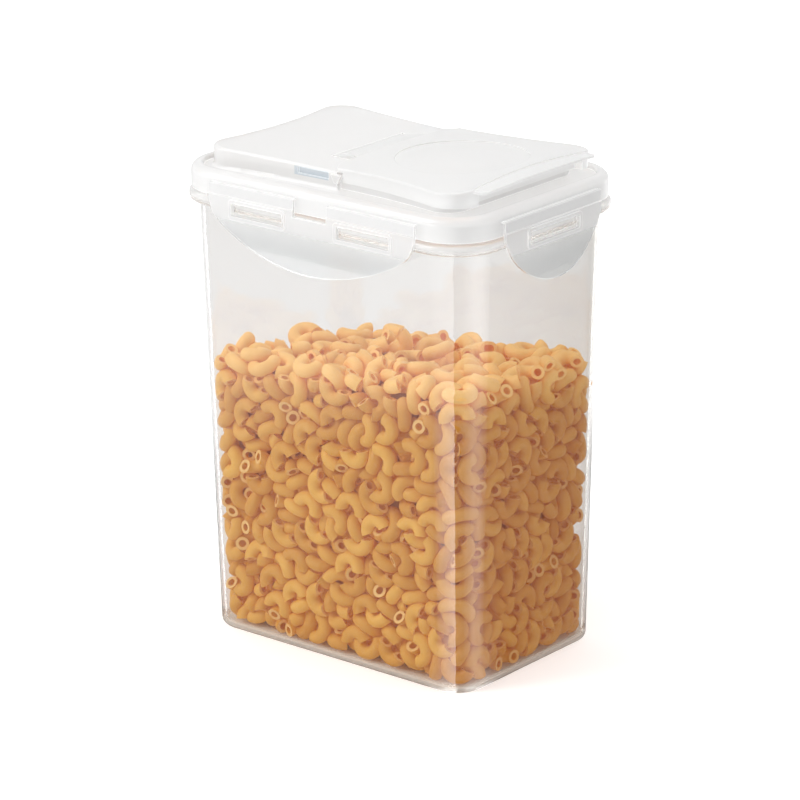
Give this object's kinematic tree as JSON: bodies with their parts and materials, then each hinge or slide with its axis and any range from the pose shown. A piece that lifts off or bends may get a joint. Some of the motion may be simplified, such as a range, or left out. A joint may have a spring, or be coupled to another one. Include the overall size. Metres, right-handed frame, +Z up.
{
  "type": "snap-lock flip-top food canister",
  "caption": "Tall rectangular clear food canister with a frosted snap-lock lid and a flip-up pouring door.",
  "frame": {"origin": "centre of the underside of the base, on the surface it stands on", "axes": "+Z up; +X along the long side towards the pouring door's thumb tab; -Y towards the front long side"},
  "size_m": [0.1626, 0.116, 0.2121],
  "materials": {
    "clear_body": "clear water-bright moulded plastic",
    "frosted_lid": "frosted translucent white moulding",
    "door": "frosted translucent white moulding",
    "flap": "translucent white, glossier than the lid",
    "silicone": "milky translucent silicone"
  },
  "bodies": {
    "container": {"container": "clear_body"},
    "lid": {"lid": "frosted_lid", "lid_gasket": "silicone", "film_hinge_front": "frosted_lid", "film_hinge_back": "frosted_lid", "film_hinge_right": "frosted_lid", "film_hinge_left": "frosted_lid", "film_hinge_door": "frosted_lid"},
    "flap_front": {"flap_front": "flap"},
    "flap_back": {"flap_back": "flap"},
    "flap_right": {"flap_right": "flap"},
    "flap_left": {"flap_left": "flap"},
    "door": {"flip_door": "door", "door_seal": "silicone"}
  },
  "joints": [
    {"name": "lid_lift", "type": "slide", "parent": "container", "child": "lid", "axis": [0, 0, 1], "range_m": [0, 0.08]},
    {"name": "flap_front_hinge", "type": "hinge", "parent": "lid", "child": "flap_front", "pos_m": [0, -0.0542, 0.198], "axis": [-1, 0, 0], "range_deg": [-3, 120]},
    {"name": "flap_back_hinge", "type": "hinge", "parent": "lid", "child": "flap_back", "pos_m": [0, 0.0542, 0.198], "axis": [1, 0, 0], "range_deg": [-3, 120]},
    {"name": "flap_right_hinge", "type": "hinge", "parent": "lid", "child": "flap_right", "pos_m": [0.0775, 0, 0.198], "axis": [0, -1, 0], "range_deg": [-3, 120]},
    {"name": "flap_left_hinge", "type": "hinge", "parent": "lid", "child": "flap_left", "pos_m": [-0.0775, 0, 0.198], "axis": [0, 1, 0], "range_deg": [-3, 120]},
    {"name": "door_hinge", "type": "hinge", "parent": "lid", "child": "door", "pos_m": [-0.016, 0, 0.2076], "axis": [0, -1, 0], "range_deg": [0, 110]}
  ]
}
